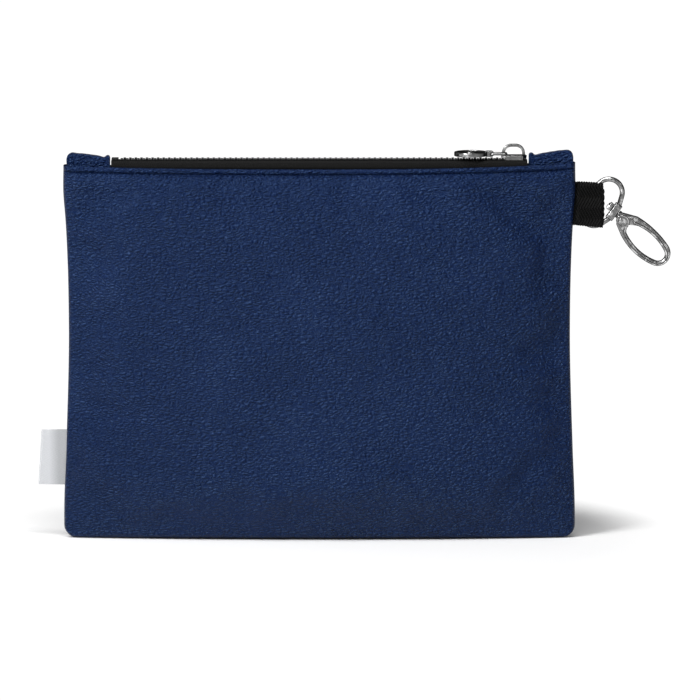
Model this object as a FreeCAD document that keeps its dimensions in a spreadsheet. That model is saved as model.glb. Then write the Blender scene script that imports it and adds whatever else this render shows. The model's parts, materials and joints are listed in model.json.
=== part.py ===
import FreeCAD, Part
import os
import re
import Sketcher

# A padded zip pouch for cash, 230 mm wide, with a swivel hook on a webbing loop.
# X is the width (hook side is +X), the front faces -Y, +Z is up.
# The origin is on the floor, under the middle of the pouch.

SIZES = {
    # horizontal sections of the pouch: height, full width, half depth, half depth at the seam
    "foot_height": 0, "foot_width": 229, "foot_depth": 8.5, "foot_seam": 1.8,
    "hip_height": 13, "hip_width": 230.6, "hip_depth": 14.5, "hip_seam": 1.8,
    "belly_height": 42, "belly_width": 228.6, "belly_depth": 16.5, "belly_seam": 1.8,
    "waist_height": 95, "waist_width": 226.6, "waist_depth": 14.5, "waist_seam": 1.8,
    "shoulder_height": 145, "shoulder_width": 229.4, "shoulder_depth": 9.8,
    "shoulder_seam": 2.4,
    "brow_height": 157.5, "brow_width": 230.2, "brow_depth": 8.1, "brow_seam": 3.3,
    "rim_height": 168.6, "rim_width": 230.6, "rim_depth": 7, "rim_seam": 4.6,
    # layers of the wall
    "seam_width": 4, "leather": 1.2, "split_shift": 0.3, "split_gap": 0.05,
    "padding_gap": 0.1, "padding": 2, "lining_gap": 0.1, "lining": 0.5,
    "corner_radius": 4,
    # zipper
    "chain_height": 171.3, "tape": 0.6, "tape_edge": 0.7, "tape_half_length": 93.5,
    "skirt_drop": 4.2, "skirt_end": 4.2, "skirt_middle": 5.3,
    "tooth_pitch": 2.5, "tooth_count": 72, "tooth_long": 1.05, "tooth_tall": 2.4,
    "tooth_root": 2.6, "tooth_reach": 0.55, "slot_end": 0.62,
    "stop_long": 3, "stop_width": 5.6, "bottom_stop_x": -91.8, "top_stop_x": 92.2,
    "top_stop_long": 1.8,
    # end tabs
    "tab_inner": 94, "tab_outer": 114.8, "tab_half_depth": 2.4, "tab_low": 161,
    "tab_step_x": 110.8, "tab_step": 168.8,
    "tab_ridge": 174.8, "tab_dip": 174.3, "tab_peak": 175.8, "tab_fold": 2.6,
    # slider and its pull
    "slider_x": 87.3, "slider_half_long": 5.6, "slider_half_wide": 3.5,
    "slider_inside": 1.5, "slider_plate": 1, "flange_wide": 0.75, "flange_slot": 0.55,
    "post_start": 3.6, "post_end": 5.2, "post_half": 0.5,
    "bail_half_long": 5.2, "bail_top": 7.6, "bail_metal": 1.3, "bail_half_wide": 1,
    "bail_foot": 2.55, "bail_corner": 4.2,
    "link_x": 84, "link_rise": 3.1, "link_long": 6.8, "link_half_wide": 2.1, "link_wire": 0.55,
    "disc_radius": 7.5, "disc_half_thick": 0.95, "disc_offset": 9.1, "rim_wide": 0.9,
    "rim_deep": 0.35, "eye_outer": 1.35, "eye_hole": 0.62, "eye_half_wide": 1.4,
    "boss_radius": 2.6, "disc_round": 0.35, "bail_round": 0.3,
    # webbing loop
    "web_start": 115.8, "web_end": 127.8, "web_low": 142.2, "web_high": 161.6,
    "web_half_thick": 2.5, "web_cloth": 1.2, "web_root": 0.3,
    "fold_low": 145.6, "fold_high": 158.4,
    # swivel axis, the centre of the ring's collar is its origin
    "collar_x": 132.95, "collar_z": 148.7, "droop": 42.8,
    "ring_sine": 0.1132, "ring_cosine": 0.99357, "ring_shift": -0.6,
    "ring_corner_u": -7, "ring_corner_v": 5.6, "ring_radius": 6.05, "ring_wire": 1.15,
    "arm_end_u": 0.26, "arm_end_v": 3.35,
    "collar_half_long": 4, "collar_half_thick": 1.7, "collar_half_wide": 2.1,
    "collar_bore": 1.06, "stem_radius": 1, "stem_end": 4.1,
    "head_half": 1.8, "head_start": 2.05, "head_thick": 1.7, "head_bore": 1.03,
    "head_round": 0.4, "collar_round": 0.7,
    # hook
    "crown_u": 9.5, "crown_v": 4.95, "crown_bend": 43.5, "end_u": 28.4, "end_v": 4.75,
    "end_bend": 5.85, "heel_u": 29.6, "heel_v": -6.35, "belly_bend": 29.4,
    "cheek_u": 9.6, "cheek_v": -6.3, "root_u": 2.6, "root_low": -3.15, "root_high": 1.1,
    "eye_u": 20.1, "eye_v": -1.2, "eye_long": 10.8, "eye_wide": 4.46, "eye_end": 3,
    "hook_half_thick": 1.7, "tongue_half_thick": 0.9, "base_start": 2.05,
    "base_radius": 2, "rivet_u": 5.85, "rivet_v": -1.2, "knuckle": 2.85, "hinge_clear": 3.1,
    "arm_start_u": 11, "gate_tip_u": 25.8, "nose_back": 2.5, "nose_ahead": 0.9,
    "gate_gap": 0.25, "cheek_start": 1, "groove_near": 1, "groove_far": 1.5,
    "groove_deep": 0.4, "hook_round": 0.85, "rivet_radius": 0.75, "rivet_hole": 0.81, "rivet_head": 1.9,
    "rivet_head_thick": 0.5, "rivet_round": 0.35, "rivet_head_gap": 0.05,
    "spring_pocket": 1.75, "spring_pocket_deep": 1.1, "spring_radius": 1.3,
    "spring_wire": 0.13, "spring_pitch": 0.34, "spring_tall": 0.68,
    # folded label
    "label_start": 116, "label_end": 125.7, "label_low": 23.9, "label_high": 49.2,
    "label_cloth": 0.35, "label_half_thick": 0.6,
}

SECTIONS = ("foot", "hip", "belly", "waist", "shoulder", "brow")

doc = FreeCAD.newDocument("cash_deposit_bag")
sheet = doc.addObject("Spreadsheet::Sheet", "Sizes")
for row, (alias, number) in enumerate(SIZES.items(), 1):
    sheet.set(f"A{row}", alias)
    sheet.set(f"B{row}", str(number))
    sheet.setAlias(f"B{row}", alias)
doc.recompute()


def bound(text):
    """The expression with every driving dimension named on the sheet."""
    return re.sub(r"[a-z][a-z_]*", lambda word: f"Sizes.{word[0]}" if word[0] in SIZES else word[0],
                  text)


def value(text):
    """The number an expression has at the moment."""
    result = sheet.evalExpression(bound(text))
    return float(getattr(result, "Value", result))


def new_body(label):
    body = doc.addObject("PartDesign::Body", label)
    body.Label = label
    return body


def origin_part(body, role):
    return next(item for item in body.Origin.OriginFeatures if item.Role == role)


def new_sketch(body, plane, lift="0"):
    """A sketch on one of the body's own origin planes, lifted along its normal."""
    sketch = body.newObject("Sketcher::SketchObject", body.Label + "_sketch")
    sketch.AttachmentSupport = [(origin_part(body, plane), "")]
    sketch.MapMode = "FlatFace"
    sketch.setExpression("AttachmentOffset.Base.z", bound(lift))
    return sketch


def drive(sketch, constraint, text):
    index = sketch.addConstraint(constraint)
    sketch.setExpression(f"Constraints[{index}]", bound(text))


def pin_point(sketch, edge, end, point):
    for kind, text in zip(("DistanceX", "DistanceY"), point):
        drive(sketch, Sketcher.Constraint(kind, -1, 1, edge, end, value(text)), text)


def arc_between(start, end, radius):
    """A circular arc that runs counter-clockwise from start to end."""
    chord = end - start
    middle = (start + end) * 0.5
    left = FreeCAD.Vector(-chord.y, chord.x, 0).normalize()
    centre = middle + left * max(radius ** 2 - (chord.Length / 2) ** 2, 0) ** 0.5
    axis = FreeCAD.Vector(0, 0, 1)
    zero = FreeCAD.Vector(1, 0, 0)
    first = zero.getAngle(start - centre) * (1 if start.y >= centre.y else -1)
    last = zero.getAngle(end - centre) * (1 if end.y >= centre.y else -1)
    return Part.ArcOfCircle(Part.Circle(centre, axis, radius), first, last)


def add_outline(sketch, points, arcs=None, closed=True):
    """Edges through the points. arcs gives, for the edge that leaves a point, its radius;
    a radius that starts with a minus sign bends the edge to the other side."""
    arcs = arcs or {}
    places = [FreeCAD.Vector(value(x), value(y), 0) for x, y in points]
    count = len(points) if closed else len(points) - 1
    first = sketch.GeometryCount
    ends = []
    for index in range(count):
        start, end = places[index], places[(index + 1) % len(points)]
        radius = arcs.get(index)
        if radius is None:
            sketch.addGeometry(Part.LineSegment(start, end), False)
            ends.append((1, 2))
        elif radius.startswith("-"):
            sketch.addGeometry(arc_between(end, start, value(radius[1:])), False)
            ends.append((2, 1))
        else:
            sketch.addGeometry(arc_between(start, end, value(radius)), False)
            ends.append((1, 2))
    for index in range(count):
        edge = first + index
        pin_point(sketch, edge, ends[index][0], points[index])
        if closed or index + 1 < count:
            after = (index + 1) % count
            sketch.addConstraint(Sketcher.Constraint(
                "Coincident", edge, ends[index][1], first + after, ends[after][0]))
        else:
            pin_point(sketch, edge, ends[index][1], points[index + 1])
        radius = arcs.get(index)
        if radius is not None:
            size = radius.lstrip("-")
            drive(sketch, Sketcher.Constraint("Radius", edge, value(size)), size)


def add_circle(sketch, x, y, radius):
    centre = FreeCAD.Vector(value(x), value(y), 0)
    edge = sketch.addGeometry(Part.Circle(centre, FreeCAD.Vector(0, 0, 1), value(radius)), False)
    pin_point(sketch, edge, 3, (x, y))
    drive(sketch, Sketcher.Constraint("Radius", edge, value(radius)), radius)


def add_box(sketch, x_low, x_high, y_low, y_high):
    add_outline(sketch, [(x_low, y_low), (x_high, y_low), (x_high, y_high), (x_low, y_high)])


def add_oval(sketch, x, y, long, wide, end):
    """A four-arc oval: half length, half width and the radius of its two ends."""
    long, wide, end = f"({long})", f"({wide})", f"({end})"
    side = f"((({long})^2 + ({wide})^2 - 2 * {long} * {end}) / (2 * ({wide} - {end})))"
    reach = f"sqrt(({long} - {end})^2 + ({side} - {wide})^2)"
    across = f"({long} - {end} + {end} * ({long} - {end}) / {reach})"
    up = f"({end} * ({side} - {wide}) / {reach})"
    corners = [(f"{x} - {across}", f"{y} - {up}"), (f"{x} + {across}", f"{y} - {up}"),
               (f"{x} + {across}", f"{y} + {up}"), (f"{x} - {across}", f"{y} + {up}")]
    add_outline(sketch, corners, {0: side, 1: end, 2: side, 3: end})


def extrude(body, kind, sketch, length, both=False, back=False):
    """A Pad or a Pocket. both spreads the length to the two sides of the sketch."""
    feature = body.newObject(f"PartDesign::{kind}", f"{body.Label}_{kind}")
    feature.Profile = sketch
    feature.setExpression("Length", bound(length))
    if both:
        feature.SideType = "Symmetric"
    feature.Reversed = back
    sketch.Visibility = False
    return feature


def round_edges(body, base, radius, choose):
    """Rounds the edges of a feature that the test picks."""
    doc.recompute()
    names = [f"Edge{number}" for number, edge in enumerate(base.Shape.Edges, 1) if choose(edge)]
    feature = body.newObject("PartDesign::Fillet", body.Label + "_round")
    feature.Base = (base, names)
    feature.setExpression("Radius", bound(radius))
    return feature


def lies_flat_in_y(edge):
    """True for an edge that keeps one y along its length."""
    return edge.BoundBox.YLength < 1e-4


def lies_flat_in_z(edge):
    return edge.BoundBox.ZLength < 1e-4


def loft(body, kind, sketches):
    feature = body.newObject(f"PartDesign::{kind}", f"{body.Label}_{kind}")
    feature.Profile = sketches[0]
    feature.Sections = sketches[1:]
    return feature


def place(body, x="0", y="0", z="0", droop=None):
    for axis, text in zip("xyz", (x, y, z)):
        body.setExpression(f"Placement.Base.{axis}", bound(text))
    if droop:
        body.Placement = FreeCAD.Placement(body.Placement.Base,
                                           FreeCAD.Rotation(FreeCAD.Vector(0, 1, 0), value(droop)))
        body.setExpression("Placement.Rotation.Angle", bound(droop))


# ---------------------------------------------------------------- pouch walls

def bow_section(body, side, height, half, edge, depth, flat):
    """A D-shaped section: flat along the seam plane and bowed out to the side's depth."""
    radius = f"((({half})^2 + ({depth} - {edge})^2) / (2 * ({depth} - {edge})))"
    sketch = new_sketch(body, "XY_Plane", height)
    far = f"{side} * ({edge})"
    near = f"{side} * ({flat})"
    bend = radius if side < 0 else f"-{radius}"
    points = [(f"-({half})", far), (f"{half}", far), (f"{half}", near), (f"-({half})", near)]
    add_outline(sketch, points, {0: bend})
    return sketch


def wall_sections(body, side, names, inset, seam_less, depth_less, flat, low, high="0"):
    """One D section at each height of the pouch, moved in by the wall layers outside it."""
    sketches = []
    for name in names:
        height = f"{name}_height"
        taper = "0"
        if name == "foot":
            height = f"foot_height + {low}"
            taper = f"({inset}) * 0.8"
        if name == "rim":
            height = f"rim_height - ({high})"
        half = f"({name}_width / 2 - ({inset}) - {taper})"
        depth = f"({name}_depth - ({depth_less}))"
        edge = f"({name}_seam - ({seam_less}))"
        sketches.append(bow_section(body, side, height, half, edge, depth, flat))
    return sketches


def round_bottom_corners(body):
    """Takes the square bottom corners off, as seen from the front."""
    sketch = new_sketch(body, "XZ_Plane")
    for end, bend in (("-", "corner_radius"), ("", "-corner_radius")):
        corner = f"{end}foot_width / 2 {end or '+'} 2"
        start = f"{end}(foot_width / 2 - corner_radius + 0.6)"
        points = [(start, "-1"), (start, "0"), (f"{end}(foot_width / 2 + 0.6)", "corner_radius"),
                  (corner, "corner_radius"), (corner, "-1")]
        add_outline(sketch, points, {1: bend.replace("-", "") if end == "" else "-corner_radius"})
    extrude(body, "Pocket", sketch, "60", both=True)


def make_panel(label, side):
    """A leather shell. The front one reaches a little past the middle, to own the origin."""
    body = new_body(label)
    flat = "-split_shift" if side < 0 else "split_shift + split_gap"
    loft(body, "AdditiveLoft",
         wall_sections(body, side, SECTIONS + ("rim",), "0", "0", "0", flat, "0"))
    loft(body, "SubtractiveLoft",
         wall_sections(body, side, SECTIONS + ("rim",), "seam_width", "0.8", "leather", "-1",
                       "leather", "-0.5"))
    round_bottom_corners(body)


def make_layer(label, side, gap, thick, inset, seam_less, low):
    """An inner layer of the wall: a bowed sheet that stops short of seam, floor and rim."""
    body = new_body(label)
    loft(body, "AdditiveLoft", wall_sections(
        body, side, SECTIONS, f"seam_width + {inset}", seam_less, f"leather + {gap}", "0.1", low))
    loft(body, "SubtractiveLoft", wall_sections(
        body, side, SECTIONS, f"seam_width + {inset} + 3", f"{seam_less} + 0.2",
        f"leather + {gap} + {thick}", "-1", f"{low} + {thick}"))


make_panel("front_panel", -1)
make_panel("back_panel", 1)
for name, side in (("front", -1), ("back", 1)):
    make_layer(f"{name}_padding", side, "padding_gap", "padding", "1", "1.05",
               "leather + 0.4")
    make_layer(f"{name}_lining", side, "padding_gap + padding + lining_gap", "lining", "4.6",
               "1.35", "leather + padding + 1")


# ---------------------------------------------------------------- zipper

def make_tape(label, side):
    """A flat tape whose outer edge turns down inside the wall."""
    body = new_body(label)
    length = "tape_half_length"
    rise = "(skirt_middle - skirt_end)"
    bend = f"(({length}^2 + {rise}^2) / (2 * {rise}))"
    outer = {0: bend if side < 0 else "-" + bend}
    flat = new_sketch(body, "XY_Plane", "chain_height - tape / 2")
    far, near = f"{side} * skirt_end", f"{side} * tape_edge"
    add_outline(flat, [("-" + length, far), (length, far), (length, near), ("-" + length, near)],
                outer)
    extrude(body, "Pad", flat, "tape")
    skirt = new_sketch(body, "XY_Plane", "chain_height")
    near = f"{side} * (skirt_end - tape)"
    inner = {2: "-" + bend if side < 0 else bend}
    add_outline(skirt, [("-" + length, far), (length, far), (length, near), ("-" + length, near)],
                outer | inner)
    extrude(body, "Pad", skirt, "skirt_drop", back=True)


def make_teeth(label, side, shift):
    """A row of metal teeth, each one clamped over the edge of its tape."""
    body = new_body(label)
    body.AllowCompound = True
    tooth = new_sketch(body, "YZ_Plane", "-tooth_long / 2")
    root = f"{side} * tooth_root"
    tip = f"-({side}) * tooth_reach"
    add_outline(tooth, [
        (root, "tape / 2 + 0.08"), (root, "tooth_tall / 2 - 0.3"),
        (f"{side} * (tooth_root - 0.3)", "tooth_tall / 2"), (f"{side} * 0.1", "tooth_tall / 2"),
        (tip, "tooth_tall / 2 - 0.45"), (tip, "0.45 - tooth_tall / 2"),
        (f"{side} * 0.1", "-tooth_tall / 2"), (f"{side} * (tooth_root - 0.3)", "-tooth_tall / 2"),
        (root, "0.3 - tooth_tall / 2"), (root, "-tape / 2 - 0.08"),
        (f"{side} * slot_end", "-tape / 2 - 0.08"), (f"{side} * slot_end", "tape / 2 + 0.08")])
    pad = extrude(body, "Pad", tooth, "tooth_long")
    row = body.newObject("PartDesign::LinearPattern", label + "_row")
    row.Originals = [pad]
    row.Direction = (origin_part(body, "X_Axis"), [""])
    row.setExpression("Length", bound("tooth_pitch * (tooth_count - 1)"))
    row.setExpression("Occurrences", bound("tooth_count"))
    body.Tip = row
    place(body, f"-tooth_pitch * (tooth_count - 1) / 2 + {shift}", "0", "chain_height")


def make_bottom_stop():
    """One clamp across both tape edges, with a slot for each."""
    body = new_body("zipper_bottom_stop")
    clamp = new_sketch(body, "YZ_Plane", "-stop_long / 2")
    half, slot, tall = "stop_width / 2", "(tape / 2 + 0.08)", "tooth_tall / 2"
    add_outline(clamp, [
        (half, slot), (half, tall), (f"-{half}", tall), (f"-{half}", slot),
        ("-slot_end", slot), ("-slot_end", f"-{slot}"), (f"-{half}", f"-{slot}"),
        (f"-{half}", f"-{tall}"), (half, f"-{tall}"), (half, f"-{slot}"),
        ("slot_end", f"-{slot}"), ("slot_end", slot)])
    extrude(body, "Pad", clamp, "stop_long")
    place(body, "bottom_stop_x", "0", "chain_height")


def make_top_stops():
    """A small clamp on the end of each tape edge."""
    body = new_body("zipper_top_stops")
    body.AllowCompound = True
    slot, tall = "(tape / 2 + 0.08)", "tooth_tall / 2"
    for side in (-1, 1):
        clamp = new_sketch(body, "YZ_Plane", "-top_stop_long / 2")
        root, tip, deep = (f"{side} * tooth_root", f"{side} * (slot_end - 0.06)",
                           f"{side} * (slot_end + 0.03)")
        add_outline(clamp, [(root, slot), (root, tall), (tip, tall), (tip, f"-{tall}"),
                            (root, f"-{tall}"), (root, f"-{slot}"), (deep, f"-{slot}"),
                            (deep, slot)])
        extrude(body, "Pad", clamp, "top_stop_long")
    place(body, "top_stop_x", "0", "chain_height")


def make_end_tab(label, side):
    """Leather folded over the end of the zipper, with a rolled inner edge."""
    body = new_body(label)
    shape = new_sketch(body, "XZ_Plane", "-tab_half_depth")
    step = f"{side} * tab_step_x"
    inner, outer = f"{side} * tab_inner", f"{side} * tab_outer"
    roll = f"{side} * (tab_inner + tab_fold)"
    points = [(inner, "tab_low"), (inner, "tab_ridge - tab_fold / 2"),
              (roll, "tab_ridge - tab_fold / 2"), (f"{side} * (tab_inner + 2.2 * tab_fold)", "tab_dip"),
              (f"{side} * (tab_outer - 3)", "tab_peak"), (outer, "tab_peak - 3"),
              (outer, "tab_step"), (step, "tab_step"), (step, "tab_low")]
    bends = {1: "tab_fold / 2 + 0.01", 4: "3.2"}
    if side > 0:
        bends = {1: "-(tab_fold / 2 + 0.01)", 4: "-3.2"}
    add_outline(shape, points, bends)
    extrude(body, "Pad", shape, "2 * tab_half_depth")


for name, side in (("front", -1), ("back", 1)):
    make_tape(f"{name}_zipper_tape", side)
make_teeth("front_zipper_teeth", -1, "0")
make_teeth("back_zipper_teeth", 1, "tooth_pitch / 2")
make_bottom_stop()
make_top_stops()
make_end_tab("left_end_tab", -1)
make_end_tab("right_end_tab", 1)


# ---------------------------------------------------------------- slider and pull

def make_slider_body():
    """Two plates around the chain, flanges beside it and a wedge between them at the nose."""
    body = new_body("slider_body")
    half, wide, top = "slider_half_long", "slider_half_wide", "(slider_inside + slider_plate)"
    post = new_sketch(body, "XY_Plane", f"-{top}")
    add_outline(post, [("post_start", "-0.2"), ("post_start", "0.2"), ("post_end", "post_half"),
                       ("post_end", "-post_half")])
    extrude(body, "Pad", post, f"2 * {top}")
    for low in ("slider_inside", f"-{top}"):
        plate = new_sketch(body, "XY_Plane", low)
        add_outline(plate, [(f"-{half}", f"1 - {wide}"), (f"2 - {half}", f"-{wide}"),
                            (f"{half} - 1.5", f"-{wide}"), (half, "-1.6"), (half, "1.6"),
                            (f"{half} - 1.5", wide), (f"2 - {half}", wide),
                            (f"-{half}", f"{wide} - 1")], {3: "4"})
        extrude(body, "Pad", plate, "slider_plate")
    for low in ("flange_slot", "-slider_inside"):
        flanges = new_sketch(body, "XY_Plane", low)
        for side in ("-", ""):
            near, far = f"{side}({wide} - flange_wide)", f"{side}{wide}"
            points = [(f"2 - {half}", near), (f"{half} - 1.5", near),
                      (f"{half} - 1.5", far), (f"2 - {half}", far)]
            add_outline(flanges, points)
        extrude(body, "Pad", flanges, "slider_inside - flange_slot")
    place(body, "slider_x", "0", "chain_height")


def make_slider_bail():
    """The tall arch on the slider that carries the pull."""
    body = new_body("slider_bail")
    arch = new_sketch(body, "XZ_Plane", "-bail_half_wide")
    outer, inner = "bail_half_long", "(bail_half_long - bail_metal)"
    top, under = "bail_top", "(bail_top - bail_metal)"
    turn, bend = "bail_corner", "(bail_corner - bail_metal)"
    add_outline(arch, [
        (f"-{outer}", "bail_foot"), (f"-{outer}", f"{top} - {turn}"),
        (f"{turn} - {outer}", top), (f"{outer} - {turn}", top),
        (outer, f"{top} - {turn}"), (outer, "bail_foot"),
        (inner, "bail_foot"), (inner, f"{under} - {bend}"),
        (f"{inner} - {bend}", under), (f"{bend} - {inner}", under),
        (f"-{inner}", f"{under} - {bend}"), (f"-{inner}", "bail_foot")],
        {1: "-" + turn, 3: "-" + turn, 7: bend, 9: bend})
    pad = extrude(body, "Pad", arch, "2 * bail_half_wide")
    round_edges(body, pad, "bail_round", lies_flat_in_y)
    place(body, "slider_x", "0", "chain_height")


def make_pull_link():
    """A closed wire link between the bail and the pull."""
    body = new_body("pull_link")
    spine = new_sketch(body, "XY_Plane")
    wide, long, turn = "link_half_wide", "link_long", "0.9"
    add_outline(spine, [
        ("0", f"{turn} - {wide}"), ("0", f"{wide} - {turn}"), (f"-{turn}", wide),
        (f"{turn} - {long}", wide), (f"-{long}", f"{wide} - {turn}"),
        (f"-{long}", f"{turn} - {wide}"), (f"{turn} - {long}", f"-{wide}"),
        (f"-{turn}", f"-{wide}")],
        {1: turn, 3: turn, 5: turn, 7: turn})
    wire = new_sketch(body, "XZ_Plane")
    add_circle(wire, "0", "0", "link_wire")
    pipe = body.newObject("PartDesign::AdditivePipe", "pull_link_pipe")
    pipe.Profile = wire
    pipe.Spine = spine
    place(body, "link_x", "0", "chain_height + link_rise")


def make_pull_medallion():
    """A round pull with a raised rim and a plain boss, and an eye for the link."""
    body = new_body("pull_medallion")
    thick = "disc_half_thick"
    disc = new_sketch(body, "XY_Plane", f"-{thick}")
    add_circle(disc, "-disc_offset", "0", "disc_radius")
    pad = extrude(body, "Pad", disc, f"2 * {thick}")
    round_edges(body, pad, "disc_round", lies_flat_in_z)
    for lift, back in ((thick, False), (f"-{thick}", True)):
        hollow = new_sketch(body, "XY_Plane", lift)
        add_circle(hollow, "-disc_offset", "0", "disc_radius - rim_wide")
        add_circle(hollow, "-disc_offset", "0", "boss_radius")
        extrude(body, "Pocket", hollow, "rim_deep", back=back)
    eye = new_sketch(body, "XZ_Plane", "-eye_half_wide")
    add_outline(eye, [("-2.4", "-eye_outer"), ("0", "-eye_outer"), ("0", "eye_outer"),
                      ("-2.4", "eye_outer")], {1: "eye_outer + 0.001"})
    extrude(body, "Pad", eye, "2 * eye_half_wide")
    hole = new_sketch(body, "XZ_Plane")
    add_circle(hole, "0", "0", "eye_hole")
    extrude(body, "Pocket", hole, "6", both=True)
    place(body, "link_x - link_long", "0", "chain_height + link_rise")


make_slider_body()
make_slider_bail()
make_pull_link()
make_pull_medallion()


# ---------------------------------------------------------------- hook side

def make_webbing_loop():
    """Webbing folded back on itself, open inside so that the ring can pass through."""
    body = new_body("webbing_loop")
    loop = new_sketch(body, "XY_Plane", "web_low")
    half, cloth = "web_half_thick", "web_cloth"
    inner = "(web_half_thick - web_cloth)"
    turn = "(web_end - web_half_thick)"
    shoulder = "web_start + 0.6"
    add_outline(loop, [("web_start", f"-{inner}"), (shoulder, f"-{half}"), (turn, f"-{half}"),
                       (turn, half), (shoulder, half), ("web_start", inner)],
                {2: half + " + 0.001"})
    add_outline(loop, [("web_start + web_root", f"-{inner}"), (turn, f"-{inner}"),
                       (turn, inner), ("web_start + web_root", inner)],
                {1: inner + " + 0.001"})
    extrude(body, "Pad", loop, "web_high - web_low")
    for low, high in (("web_low - 1", "fold_low"), ("fold_high", "web_high + 1")):
        notch = new_sketch(body, "XZ_Plane", f"-{inner}")
        add_box(notch, "web_start + 1", "web_end + 1", low, high)
        extrude(body, "Pocket", notch, f"2 * {inner}", back=True)


def turned(along, across):
    """A point of the ring's own frame, which is turned and shifted from the swivel's."""
    shifted = f"({across} + ring_shift)"
    return (f"({along}) * ring_cosine - {shifted} * ring_sine",
            f"({along}) * ring_sine + {shifted} * ring_cosine")


def make_d_ring():
    """A bent wire ring whose two arms end in a bored collar."""
    body = new_body("d_ring")
    u, v, bend = "ring_corner_u", "ring_corner_v", "ring_radius"
    thick, long = "collar_half_thick", "collar_half_long"
    collar = new_sketch(body, "XZ_Plane", "-collar_half_wide")
    add_outline(collar, [turned(f"-{thick}", f"-{long}"), turned(thick, f"-{long}"),
                         turned(thick, long), turned(f"-{thick}", long)])
    pad = extrude(body, "Pad", collar, "2 * collar_half_wide")
    round_edges(body, pad, "collar_round", lies_flat_in_y)
    spine = new_sketch(body, "XZ_Plane")
    sine, cosine = "0.342", "0.94"
    add_outline(spine, [
        turned("arm_end_u", "-arm_end_v"),
        turned(f"{u} + {bend} * {cosine}", f"-({v} + {bend} * {sine})"),
        turned(f"{u} - {bend}", f"-{v}"), turned(f"{u} - {bend}", v),
        turned(f"{u} + {bend} * {cosine}", f"{v} + {bend} * {sine}"),
        turned("arm_end_u", "arm_end_v")],
        {1: "-" + bend, 3: "-" + bend}, closed=False)
    wire = new_sketch(body, "XY_Plane")
    add_circle(wire, f"({u} - {bend}) / ring_cosine", "0", "ring_wire")
    pipe = body.newObject("PartDesign::AdditivePipe", "d_ring_pipe")
    pipe.Profile = wire
    pipe.Spine = spine
    bore = new_sketch(body, "YZ_Plane")
    add_circle(bore, "0", "0", "collar_bore")
    extrude(body, "Pocket", bore, "12", both=True)
    place(body, "collar_x", "0", "collar_z", "droop")


def make_swivel_head():
    """The square head peened onto the hook's stem, inside the ring."""
    body = new_body("swivel_head")
    head = new_sketch(body, "YZ_Plane", "-head_start - head_thick")
    add_box(head, "-head_half", "head_half", "-head_half", "head_half")
    add_circle(head, "0", "0", "head_bore")
    pad = extrude(body, "Pad", head, "head_thick")
    round_edges(body, pad, "head_round", lambda edge: edge.BoundBox.XLength < 1e-4
                and edge.BoundBox.XMin < value("-head_start - head_thick / 2")
                and edge.Curve.TypeId == "Part::GeomLine")
    place(body, "collar_x", "0", "collar_z", "droop")


def ring_of_hook(body):
    """The drop-shaped loop of the hook around its opening, rounded and grooved."""
    drop = new_sketch(body, "XZ_Plane", "-hook_half_thick")
    add_outline(drop, [("base_start", "root_high"), ("crown_u", "crown_v"), ("end_u", "end_v"),
                       ("heel_u", "heel_v"), ("cheek_u", "cheek_v"), ("root_u", "root_low"),
                       ("base_start", "root_low + 0.95")],
                {1: "-crown_bend", 2: "-end_bend", 3: "-belly_bend"})
    add_oval(drop, "eye_u", "eye_v", "eye_long", "eye_wide", "eye_end")
    pad = extrude(body, "Pad", drop, "2 * hook_half_thick")
    round_edges(body, pad, "hook_round", lies_flat_in_y)
    for lift, back in (("hook_half_thick", True), ("-hook_half_thick", False)):
        groove = new_sketch(body, "XZ_Plane", lift)
        for grow in ("groove_far", "groove_near"):
            add_oval(groove, "eye_u", "eye_v", f"eye_long + {grow}", f"eye_wide + {grow}",
                     f"eye_end + {grow}")
        extrude(body, "Pocket", groove, "groove_deep", back=not back)


def make_hook_frame():
    """Stem, base, tongue, the fixed arm and the nose that meets the gate."""
    body = new_body("hook_frame")
    ring_of_hook(body)
    cut = new_sketch(body, "XZ_Plane")
    add_outline(cut, [
        ("-2", "-12"), ("gate_tip_u - nose_back", "-12"),
        ("gate_tip_u + nose_ahead", "eye_v - 2.4"), ("arm_start_u", "eye_v + 1.9"),
        ("arm_start_u", "eye_v + 2.5"), ("arm_start_u - 2.5", "eye_v + 4.5"),
        ("rivet_u + hinge_clear * 0.259", "rivet_v + hinge_clear * 0.966"),
        ("rivet_u - hinge_clear * 0.866", "rivet_v + hinge_clear / 2"),
        ("base_start", "rivet_v + hinge_clear / 2"), ("base_start", "9"), ("-2", "9")],
        {6: "hinge_clear"})
    extrude(body, "Pocket", cut, "20", both=True)
    tongue = new_sketch(body, "XZ_Plane", "-tongue_half_thick")
    add_outline(tongue, [("base_start", "-base_radius"), ("rivet_u + 1.2", "-2.6"),
                         ("arm_start_u - 1.2", "0.2"), ("arm_start_u + 2.2", "2.6"),
                         ("arm_start_u + 2.2", "4.6"), ("arm_start_u - 2.4", "4.1"),
                         ("base_start", "root_high - 0.3")])
    extrude(body, "Pad", tongue, "2 * tongue_half_thick")
    base = new_sketch(body, "YZ_Plane", "base_start")
    add_circle(base, "0", "0", "base_radius - 0.2")
    extrude(body, "Pad", base, "0.8")
    stem = new_sketch(body, "YZ_Plane", "-stem_end")
    add_circle(stem, "0", "0", "stem_radius")
    extrude(body, "Pad", stem, "stem_end + base_start + 0.4")
    hole = new_sketch(body, "XZ_Plane")
    add_circle(hole, "rivet_u", "rivet_v", "rivet_hole")
    extrude(body, "Pocket", hole, "8", both=True)
    pocket = new_sketch(body, "XZ_Plane", "tongue_half_thick - spring_pocket_deep")
    add_circle(pocket, "rivet_u", "rivet_v", "spring_pocket")
    extrude(body, "Pocket", pocket, "4", back=True)
    place(body, "collar_x", "0", "collar_z", "droop")


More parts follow.
